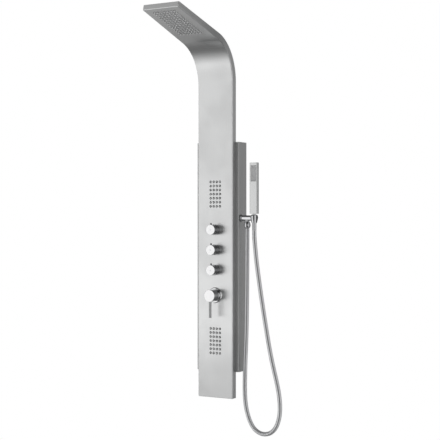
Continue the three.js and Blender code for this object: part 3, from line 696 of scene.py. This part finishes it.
def panel_sheet(material):
    """The whole pan as one closed sheet: holed front, four folds, returns and their raw edges."""
    flat, triangles, boundary, loops = panel_front()
    count = len(flat)
    verts = [on_panel(p.x, p.y, 0) for p in flat] + [on_panel(p.x, p.y, SHEET) for p in flat]
    uvs = [(p.x / 1000, p.y / 1000) for p in flat] * 2
    inwards = [station(p.y)[1] for p in flat]
    shades = [-n for n in inwards] + inwards
    faces = [list(t) for t in triangles] + [[i + count for i in t] for t in triangles]
    normals = [[shades[i] for i in face] for face in faces]
    for loop in loops:
        middle = sum((verts[i] for i in loop), Vector((0, 0, 0))) / len(loop)
        for a, b in zip(loop, loop[1:] + loop[:1]):
            from_a, from_b = middle - verts[a], middle - verts[b]
            faces.append([a, b, b + count, a + count])
            normals.append([from_a, from_b, from_b, from_a])
    rim = []
    half_count = len(boundary) // 2
    for i, index in enumerate(boundary):
        first, last = i % half_count == 0, i % half_count == half_count - 1
        if i < half_count:
            start, end = (-math.pi / 2 if first else 0), (math.pi / 2 if last else 0)
        else:
            start, end = (math.pi / 2 if first else math.pi), (math.pi * 1.5 if last else math.pi)
        steps = FOLD_STEPS if first or last else 0
        for k in range(steps + 1):
            angle = start if steps == 0 else start + (end - start) * k / steps
            rim.append((index, Vector((math.cos(angle), math.sin(angle)))))
    rings, turns = [], []
    for index, outward in rim:
        base = flat[index]
        _, inward, onward, _, depth = station(base.y)
        ring, facing = [index], [-inward]
        for offset, inset, out_part, in_part in fold_profile(depth):
            spot = base + outward * offset
            ring.append(len(verts))
            verts.append(on_panel(spot.x, min(max(spot.y, 0), PANEL_LENGTH), inset))
            spread = base + outward * (offset + inset)
            uvs.append((spread.x / 1000, spread.y / 1000))
            facing.append((ACROSS * outward.x + onward * outward.y) * out_part
                          + inward * in_part)
        rings.append(ring + [index + count])
        turns.append(facing + [inward])
    for i, ring in enumerate(rings):
        following, facing, next_facing = rings[i - 1], turns[i], turns[i - 1]
        for k in range(len(ring) - 1):
            corners = {ring[k]: facing[k], ring[k + 1]: facing[k + 1],
                       following[k + 1]: next_facing[k + 1], following[k]: next_facing[k]}
            faces.append(list(corners))
            normals.append(list(corners.values()))
    return shaded("panel_sheet", verts, faces, normals, material, "column", ["column_shell"],
                  uvs)


def along_panel(start, end, section):
    """A solid that follows the panel; section(station) gives its (across, depth) outline."""
    distances = stations_between(start, end, BEND_STEPS)
    verts = []
    for distance in distances:
        outline = section(station(distance))
        verts += [on_panel(a, distance, d) for a, d in outline]
    return verts, stacked(len(distances), len(outline))


def cover_section(here):
    inner, depth = here[3] - SHEET - GAP, here[4]
    return rectangle(-inner, inner, depth - SHEET, depth)


def screw_head(centre, outward, radius=3.4, height=1.5):
    """A low domed screw head with a hexagon socket."""
    socket = 1.55
    profile = [(radius, -0.4), (radius, 0.35), (radius * 0.86, height * 0.75),
               (radius * 0.62, height), (socket, height), (socket - 0.05, 0.35)]

    def hexagon(r, angle):
        return r * 0.9 / math.cos(angle % (math.pi / 3) - math.pi / 6) if r <= socket else r

    return stud(centre, outward, profile, 24, hexagon)


def back_covers(steel, screw_metal):
    for name, start, end in (("upper_back_cover", CASING_TOP + 1, PANEL_LENGTH - SHEET - GAP),
                             ("lower_back_cover", SHEET + GAP, CASING_BOTTOM - 1)):
        verts, faces = along_panel(start, end, cover_section)
        uvs = [(v.x, v.z) for v in verts]
        make(name + "_sheet", verts, faces, [steel], "column", [name], "plain_steel", bevel=0.3,
             smooth=50, uvs=uvs)
    heads = []
    for distance in (1010, 1110, 1205, 1315, 1425, 1520, 1620, PANEL_LENGTH - 14, 14, 88):
        _, inward, _, half, depth = station(distance)
        heads += [screw_head(on_panel(side * (half - 11), distance, depth), inward)
                  for side in (-1, 1)]
    verts, faces = merge(*heads)
    make("back_cover_screws", verts, faces, [screw_metal], "column", (), "chrome", smooth=30)


def nozzle(centre, outward, radius, proud):
    """A silicone nozzle: a cone with a rounded lip round a small outlet."""
    tip = radius * 0.72
    profile = [(radius, -2.2), (radius, 0.2), (radius * 0.93, proud * 0.35),
               (tip + 0.35, proud * 0.85), (tip, proud), (tip - 0.45, proud),
               (0.65, proud - 0.5), (0.55, proud - 1.6)]
    return stud(centre, outward, profile, 14)


def nozzle_field(name, grid, middle, replaced, material, mat_material):
    """A mat behind the panel's holes, and a nozzle through each of them."""
    half = (grid[0] - 1) * grid[2] / 2 + NOZZLE_MARGIN
    reach = (grid[1] - 1) * grid[3] / 2 + NOZZLE_MARGIN
    front, back = SHEET + GAP, SHEET + GAP + MAT_DEPTH
    mat = along_panel(middle - reach, middle + reach,
                      lambda here: rectangle(-half, half, front, back))
    nozzles = [nozzle(on_panel(across, middle + along, 0), -station(middle + along)[1],
                      NOZZLE_RADIUS, NOZZLE_PROUD) for across, along in grid_places(grid)]
    verts, faces = merge(mat, *nozzles)
    piece = make(name, verts, faces, [material, mat_material], "column", [replaced], "silicone",
                 smooth=40)
    # the mat takes the second material, which is near black as painted shade in the gaps round the
    # nozzles
    for polygon in piece.data.polygons[:len(mat[1])]:
        polygon.material_index = 1


# ---------------- casing and brackets
def casing(steel, recess):
    half, front, web = CASING_HALF, CASING_FRONT, WEB_FRONT
    lip, inner = PANEL_HALF + GAP, CASING_HALF - SHEET
    lip_in = lip + SHEET
    outer = [(-half, 0), (-half, front), (-lip, front), (-lip, web), (lip, web), (lip, front),
             (half, front), (half, 0)]
    inside = [(inner, 0), (inner, front + SHEET), (lip_in, front + SHEET), (lip_in, web + SHEET),
              (-lip_in, web + SHEET), (-lip_in, front + SHEET), (-inner, front + SHEET),
              (-inner, 0)]
    outer_radii = [0.3, 2.0, 1.6, 0.9, 0.9, 1.6, 2.0, 0.3]
    inside_radii = [0.3, 0.9, 0.9, 1.6, 0.9, 0.9, 0.9, 0.3]
    channel = extruded(rounded(outer + inside, outer_radii + inside_radii), "z",
                       CASING_BOTTOM + SHEET + GAP, CASING_TOP - SHEET - GAP)
    pipe_hole = PIPE_RADIUS + 2
    web_holes = [(12, 0, height) for height in VALVE_HEIGHTS]
    web_holes += [(24, 0, MIXER_HEIGHT), (pipe_hole, RAIN_PIPE_X, RAIN_OUTLET)]
    web_holes += [(pipe_hole, 0, height) for height in JET_HEIGHTS.values()]
    holes = [bar(radius, (x, web - 2, height), (x, web + 4, height))
             for radius, x, height in web_holes]
    holes.append(bar(8.4, (inner - 2, HOLDER_Y, ARM_HEIGHT), (half + 2, HOLDER_Y, ARM_HEIGHT)))
    verts, faces = combined(channel, removed=holes)
    piece = make("casing_sheet", verts, faces, [steel, recess], "column", ["casing_channel"],
                 "brushed_steel", smooth=40)
    # the casing's front faces get the recess material, which carries painted shade on the
    # right-hand wing
    face_material(piece)
    for name, height in (("casing_top_cap", CASING_TOP - SHEET),
                         ("casing_bottom_cap", CASING_BOTTOM)):
        verts, faces = extruded(rounded(outer, outer_radii), "z", height, height + SHEET)
        make(name + "_sheet", verts, faces, [steel], "column", [name], "brushed_steel", bevel=0.4,
             smooth=40)


def brackets(steel):
    """The wall brackets, and the hooked strips of the casing that hang on their lips."""
    reach, half, thick, lip_rise = WEB_FRONT + SHEET + GAP, 60, 2, 18
    for name, height in (("upper", 900.0), ("lower", 150.0)):
        top = height + 30
        lip = top + lip_rise
        outline = [(0, height - 30), (0, top), (reach + thick, top), (reach + thick, lip),
                   (reach, lip), (reach, top - thick), (-thick, top - thick), (-thick, height - 30)]
        radii = [0.3, 3.0, 1.0, 0.3, 0.3, 3.0, 1.0, 0.3]
        plate = extruded(rounded(outline, radii), "x", -half, half)
        holes = [bar(3.3, (x, -6, height), (x, 4, height), 32) for x in (-40, 40)]
        verts, faces = combined(plate, removed=holes)
        make(f"{name}_bracket_plate", verts, faces, [steel], "column", [f"{name}_wall_bracket"],
             "plain_steel", smooth=40)
        behind = reach + thick + GAP
        strip = [(reach, lip + 14), (reach, lip + GAP), (behind, lip + GAP), (behind, lip - 10),
                 (behind + thick, lip - 10), (behind + thick, lip + thick + GAP),
                 (reach + thick, lip + thick + GAP), (reach + thick, lip + 14)]
        radii = [0.3, 0.6, 0.3, 0.3, 0.3, 1.4, 0.6, 0.3]
        verts, faces = extruded(rounded(strip, radii), "x", -half, half)
        make(f"{name}_hanger_hook", verts, faces, [steel], "column", [f"{name}_hanger_strip"],
             "plain_steel", smooth=40)
        heads = [screw_head(place(x, reach + thick, lip + 8.5), Vector((0, 1, 0)), 3.0, 1.3)
                 for x in (-45, -15, 15, 45)]
        verts, faces = merge(*heads)
        make(f"{name}_hanger_rivets", verts, faces, [steel], "column", (), "plain_steel", smooth=30)


# ---------------- water path behind the panel
def collar(radius, axis, centre, low, high):
    """A hexagon nut with chamfered corners round a pipe."""
    outline = [(radius - 2.2, low), (radius - 0.6, low), (radius, low + 0.8), (radius, high - 0.8),
               (radius - 0.6, high), (radius - 2.2, high)]

    def hexagon(r, angle):
        wedge = angle % (math.pi / 3) - math.pi / 6
        return r if r < radius - 1 else min(r, (radius - 0.9) / math.cos(wedge))

    return turned(outline, axis, centre, 72, hexagon)


def pipes(plastic, brass):
    depth = FRONT_Y + CHAMBER_DEPTH
    rain = smooth_line([place(-MANIFOLD_SIDE, PIPE_Y, RAIN_OUTLET),
                        place(RAIN_PIPE_X, PIPE_Y, RAIN_OUTLET),
                        place(RAIN_PIPE_X, depth, RAIN_OUTLET),
                        place(RAIN_PIPE_X, depth, STRAIGHT_TOP - 1)], 0.014)
    end = RAIN_MIDDLE - RAIN_REACH - 9.3
    rain += [on_panel(RAIN_PIPE_X, s, 12) for s in stations_between(STRAIGHT_TOP, end, 24)]
    jets = {}
    chamber_back = FRONT_Y + SHEET + GAP + MAT_DEPTH + GAP + CHAMBER_DEPTH + GAP
    for name, start in (("upper", MANIFOLD_TOP), ("lower", MIXER_HEIGHT - MIXER_BODY_REACH)):
        height = JET_HEIGHTS[name]
        jets[name] = smooth_line([place(0, PIPE_Y, start), place(0, PIPE_Y, height),
                                  place(0, chamber_back, height)], 0.012)
    hand = smooth_line([place(MANIFOLD_SIDE, PIPE_Y, HAND_OUTLET), place(48, PIPE_Y, HAND_OUTLET),
                        place(48, HOLDER_Y, ARM_HEIGHT), place(79.7, HOLDER_Y, ARM_HEIGHT)], 0.014)
    for name, line in (("rain_feed", rain), ("upper_jet", jets["upper"]),
                       ("lower_jet", jets["lower"]), ("hand_shower", hand)):
        verts, faces = tube(line, lambda i: PIPE_RADIUS, 24)
        make(f"{name}_tube", verts, faces, [plastic], "column", [f"{name}_pipe"], "white_plastic",
             smooth=50)
    long, side = 9.6, MANIFOLD_SIDE + 0.1
    nuts = [collar(8.6, axis, (0, PIPE_Y, height), low, low + long) for axis, height, low in (
        ("x", HAND_OUTLET, side), ("x", RAIN_OUTLET, -side - long),
        ("z", 0, MANIFOLD_TOP + 0.1), ("z", 0, MIXER_HEIGHT - MIXER_BODY_REACH - 0.1 - long))]
    make("pipe_nuts", *merge(*nuts), [brass], "column", (), "brass", smooth=30)


# ---------------- knobs and mixer
def face_material(obj):
    """Gives the faces that look straight out of the panel the piece's second material."""
    for polygon in obj.data.polygons:
        if polygon.normal.y < -0.96:
            polygon.material_index = 1


def valves(chrome, face, dark):
    # chrome here is the darker copy of the chrome: painted shade on the sleeves and knob sides
    for number, height in enumerate(VALVE_HEIGHTS, 1):
        centre = (0, FRONT_Y, height)
        body, origin = f"knob_{number}", place(*centre)
        lathed(f"sleeve_{number}", rectangle(17.5, 20.6, 0.3, 16.2), [0.2, 0.3, 0.8, 0.3], "front",
               centre, [chrome], "column", f"diverter_sleeve_{number}", origin=origin)
        knob = [(0, 16.8), (19.7, 16.8), (19.7, 38), (2.2, 38), (1.7, 37.5), (0, 37.5)]
        face_material(lathed(
            f"knob_{number}_cap", knob, [0, 0.8, 1.0, 0.15, 0.15, 0], "front", centre,
            [chrome, face], body, f"diverter_knob_{number}", slot="satin_chrome", origin=origin))
        lathed(f"knob_{number}_pin", rectangle(0, 3, 12, 26.2), [0, 0, 1.0, 0], "z",
               (0, FRONT_Y - 32, height), [dark], body, f"knob_pin_{number}", 32)


def mixer(chrome, side, face, rod):
    centre = (0, FRONT_Y, MIXER_HEIGHT)
    origin = place(*centre)
    # chrome here is the lighter copy of the chrome: a painted highlight on the rose and the ring
    # nut
    rose = [(19, 0.3), (30.5, 0.3), (30.5, 1.8), (26.8, 5.6), (19, 5.6)]
    lathed("mixer_rose", rose, [0.2, 0.2, 0.6, 0.8, 0.3], "front", centre, [chrome], "column",
           "mixer_escutcheon", steps=6, origin=origin)
    bonnet = [(16.4, 0.3), (18.2, 0.3), (18.8, 5.9), (20.3, 9.8), (20.9, 13.3), (20.2, 14),
              (11.8, 14), (11.8, 8.3), (16.4, 8.3)]
    lathed("mixer_ring_nut", bonnet, [0.2, 0.4, 12, 12, 0.4, 0.3, 0.5, 0.5, 0.5], "front", centre,
           [chrome], "column", "mixer_bonnet")
    handle = [(21.2, 15), (23.5, 15), (23.5, 46.5), (0, 46.5), (0, 30), (21.2, 30)]
    face_material(lathed(
        "mixer_handle_cap", handle, [0.3, 0.5, 1.3, 0, 0, 0.8], "front", centre, [side, face],
        "mixer_handle", "mixer_handle", 128, 6, "satin_chrome", origin))
    lathed("mixer_lever_rod", rectangle(0, 5, -85, -12), [0, 1.0, 0, 0], "z",
           (0, FRONT_Y - 38.5, MIXER_HEIGHT), [rod], "mixer_handle", "mixer_lever", 48)


# ---------------- outlet arm and hand shower
def outlet(chrome, brass):
    axis = (0, HOLDER_Y, ARM_HEIGHT)
    below = (OUTLET_X, HOLDER_Y, 0)
    upright = (CRADLE_X, HOLDER_Y, 0)
    flange = [(11.1, FLANGE_X), (14.5, FLANGE_X), (14.5, 97), (12.8, 98.8), (11.1, 98.8)]
    lathed("arm_flange", flange, [0.1, 0.2, 0.9, 1.0, 0.2], "x", axis, [chrome], "column",
           "outlet_flange", 72)
    arm_end = CRADLE_X - 6
    arm = turned([(0, 80), (8, 80), (8, FLANGE_X), (10.75, FLANGE_X), (10.75, arm_end),
                  (0, arm_end)], "x", axis, 64)
    neck = turned([(0, 673), (6, 673), (6, 683), (8.8, 683), (8.8, ARM_HEIGHT), (0, ARM_HEIGHT)],
                  "z", below, 48)
    cradle = [(0, 677), (10.4, 677), (12.8, 686), (15.5, 697), (14.2, 705), (11.4, 709), (0, 709)]
    cradle = turned(rounded(cradle, [0, 1.0, 8, 5, 4, 0.8, 0], 5), "z", upright, 72)
    seat = turned([(0, 670), (8.85, 670), (10.58, 712), (0, 712)], "z", upright, 64)
    turn, half, reach = math.radians(60), 8.9, 24
    across = Vector((math.cos(turn), math.sin(turn))) * half
    outward = Vector((math.sin(turn), -math.cos(turn))) * reach
    middle = Vector((CRADLE_X, HOLDER_Y))
    slot = extruded([tuple(middle + across * side + outward * out)
                     for side, out in ((-1, 0), (-1, 1), (1, 1), (1, 0))], "z", 668, 716)
    verts, faces = combined(arm, joined=[neck, cradle], removed=[seat, slot])
    make("arm_and_cradle", verts, faces, [chrome], "column", ["outlet_arm"], "chrome", smooth=30)
    make("arm_locknut", *collar(14, "x", axis, 84, 91.2), [brass], "column", ["outlet_locknut"],
         "brass", smooth=30)
    nut = [(0, 657), (9.2, 657), (11.8, 661.5), (13.5, 667), (13.3, 672), (11.4, 678), (9.4, 682.7),
           (6.4, 682.7), (6.4, 672.5), (0, 672.5)]
    lathed("hose_ball_nut", nut, [0, 0.5, 6, 6, 6, 6, 0.3, 0.3, 0.3, 0], "z", below, [chrome],
           "column", "hose_outlet_nut", 72, 5)


def hose_line(step):
    """The hose's centreline in metres, resampled at an even step in millimetres."""
    points = [place(x, HOLDER_Y, height) for x, height in HOSE_ROUTE]
    dense, steps = [], 24
    for i in range(len(points) - 1):
        p0 = points[max(i - 1, 0)]
        p1, p2 = points[i], points[i + 1]
        p3 = points[min(i + 2, len(points) - 1)]
        for k in range(steps):
            t = k / steps
            dense.append(0.5 * ((2 * p1) + (p2 - p0) * t + (2 * p0 - 5 * p1 + 4 * p2 - p3) * t * t
                                + (3 * p1 - p0 - 3 * p2 + p3) * t ** 3))
    dense.append(points[-1])
    lengths = [0.0]
    for a, b in zip(dense, dense[1:]):
        lengths.append(lengths[-1] + (b - a).length)
    total = lengths[-1]
    count = max(2, round(total * 1000 / step))
    line, j = [], 0
    for i in range(count + 1):
        target = total * i / count
        while j < len(lengths) - 2 and lengths[j + 1] < target:
            j += 1
        span = lengths[j + 1] - lengths[j]
        t = 0 if span == 0 else (target - lengths[j]) / span
        line.append(dense[j].lerp(dense[j + 1], min(max(t, 0), 1)))
    return line, total


def hose(metal):
    """The steel-wound hose: a ring of raised metal every few millimetres."""
    rows = len(HOSE_RIDGE)
    line, total = hose_line(HOSE_PITCH / rows)
    verts, faces = tube(line, lambda i: HOSE_RADIUS + HOSE_RIDGE[i % rows], 28)
    piece = make("shower_hose", verts, faces, [metal], None, ["hose"], "hose_skin", smooth=80)
    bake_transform(piece)


def hand_shower(steel, chrome, silicone):
    body = "hand_shower"
    axis = (CRADLE_X, HOLDER_Y, 0)
    cone = [(0, 650), (8.4, 650), (8.7, 676), (9.95, 706.5), (5, 706.5), (5, 690), (0, 690)]
    lathed("hose_cone_nut", cone, [0, 0.8, 3, 1.0, 0.2, 0, 0], "z", axis, [chrome], body,
           "hose_handset_nut", 72)
    neck = [(0, 691), (4.6, 691), (4.6, 706.8), (6.8, 706.8), (6.8, 712), (0, 712)]
    lathed("hand_shower_neck", neck, [0, 0, 0, 0.4, 0.3, 0], "z", axis, [chrome], body,
           "handset_neck", 64)
    outline = rectangle(CRADLE_X - 17, CRADLE_X + 17, HOLDER_Y - 7.5, HOLDER_Y + 7.5)
    block = extruded(rounded(outline, [3] * 4, 6), "z", 712.3, 909.3)
    recess = extruded(rectangle(CRADLE_X - 12, CRADLE_X + 12, HOLDER_Y - 9, HOLDER_Y - 4.5), "z",
                      837.5, 897.8)
    verts, faces = combined(block, removed=[recess])
    make("hand_shower_bar", verts, faces, [steel], body, ["handset_body"], "brushed_steel",
         bevel=0.7, smooth=35)
    front = HOLDER_Y - 8.1
    outline = rounded(rectangle(front, HOLDER_Y - 4.8, 838, 897.3), [0.6, 0, 0, 0.6])
    plate = extruded(outline, "x", CRADLE_X - 11.6, CRADLE_X + 11.6)
    outward = Vector((0, -1, 0))
    nozzles = [nozzle(place(CRADLE_X + across, front, SPRAY_MIDDLE + up), outward, 1.1, 1.0)
               for across, up in grid_places(SPRAY_GRID)]
    verts, faces = merge(plate, *nozzles)
    make("hand_spray_plate", verts, faces, [silicone], body, ["handset_spray_plate"], "silicone",
         smooth=40)


# ---------------- pieces that keep their solids
def finish_nodes(groups):
    """Materials and softened edges for the solids that stay as they are."""
    for material, names, bevel in groups:
        for name in names:
            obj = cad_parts[name]
            obj.data.materials.clear()
            obj.data.materials.append(material)
            soften(obj, bevel, 30, 2)


add_camera()
add_world()
add_floor()

# The panel's tones are painted light and shade: darker at the bottom, lighter low on the column,
# darker where the bend turns into the head, and darker on both side returns.
panel_steel = brushed("panel_steel", (0.73, 0.735, 0.735, 1), 0.33, 0.8, (900, 9, 1), "UV", shade=(
    ("Y", [(0.02, 0.86), (0.09, 0.92), (0.20, 1.08), (0.29, 1.15), (0.43, 1.15), (0.60, 1.07),
           (1.00, 1.02), (1.22, 1.0), (1.31, 1.0), (1.42, 0.7), (1.60, 0.92), (1.70, 1.0)]),
    ("X", [(-0.084, 0.8), (-0.079, 1.0), (0.079, 1.0), (0.084, 0.8)])))
casing_steel = brushed("casing_steel", (0.52, 0.525, 0.525, 1), 0.3, 0.6, (900, 900, 9))
handset_steel = brushed("handset_steel", (0.575, 0.58, 0.58, 1), 0.27, 0.3, (1200, 1200, 14))
# Steel for the casing's front faces, with painted shade: the front faces on the right, past 80 mm
# from the middle, are darkened.
recess_shaded_steel = brushed("recess_shaded_steel", (0.52, 0.525, 0.525, 1), 0.34, 0.6, (900, 900, 9),
                       shade=(("X", [(0.080, 1.0), (0.087, 0.55)]),))
mill_steel = brushed("mill_steel", (0.5, 0.505, 0.51, 1), 0.38, 0.2, (120, 120, 60), wear=0.05)
chrome = polished("chrome", (0.56, 0.565, 0.575, 1), 0.07)
# A lighter copy of the chrome, for a painted highlight on the mixer's rose and ring nut.
lit_chrome = polished("lit_chrome", (0.72, 0.725, 0.73, 1), 0.1)
# A darker copy of the chrome, for painted shade: it makes the knobs' sleeves and sides look dark.
shaded_valve_chrome = polished("shaded_valve_chrome", (0.38, 0.385, 0.395, 1), 0.05)
lever_chrome = polished("lever_chrome", (0.42, 0.425, 0.43, 1), 0.24)
hose_metal = polished("hose_metal", (0.76, 0.765, 0.775, 1), 0.3, 0.08)
knob_face = spun("knob_face", (0.72, 0.72, 0.725, 1), 0.2)
dark_steel = polished("dark_steel", (0.12, 0.122, 0.125, 1), 0.25)
cast_brass = moulded("cast_brass", (0.72, 0.55, 0.28, 1), 0.36, 0.25, 1.0, 260.0)
silicone = moulded("nozzle_silicone", (0.97, 0.975, 0.98, 1), 0.4, 0.1)
# Near-black rubber for the nozzle mats, so that the gaps round the nozzles read as painted shade.
mat_shade_rubber = moulded("mat_shade_rubber", (0.025, 0.026, 0.027, 1), 0.6, 0.1)
spray_silicone = moulded("spray_silicone", (0.82, 0.825, 0.83, 1), 0.45, 0.1)
white_plastic = moulded("white_plastic", (0.78, 0.78, 0.76, 1), 0.4, 0.08)
black_plastic = moulded("black_plastic", (0.035, 0.036, 0.038, 1), 0.5, 0.2)

outlet(chrome, cast_brass)
hand_shower(handset_steel, chrome, spray_silicone)
hose(hose_metal)
panel_sheet(panel_steel)
back_covers(mill_steel, chrome)
nozzle_field("rain_nozzles", RAIN_GRID, RAIN_MIDDLE, "rain_nozzle_mat", silicone, mat_shade_rubber)
for field, height in JET_HEIGHTS.items():
    nozzle_field(f"{field}_jets", JET_GRID, height, f"{field}_jet_mat", silicone, mat_shade_rubber)
casing(casing_steel, recess_shaded_steel)
brackets(mill_steel)
pipes(white_plastic, cast_brass)
valves(shaded_valve_chrome, knob_face, dark_steel)
mixer(lit_chrome, chrome, knob_face, lever_chrome)
finish_nodes([
    (cast_brass, ["diverter_manifold", "mixer_body", "hot_inlet_nipple", "cold_inlet_nipple",
                  "mixer_stub"], 0.8),
    (cast_brass, [f"diverter_{kind}_{i}" for i in (1, 2, 3)
                  for kind in ("cartridge", "nut", "spindle")], 0.4),
    (white_plastic, ["mixer_cartridge", "mixer_carrier"], 0.4),
    (black_plastic, ["rain_chamber", "upper_jet_chamber", "lower_jet_chamber"], 0.8),
])
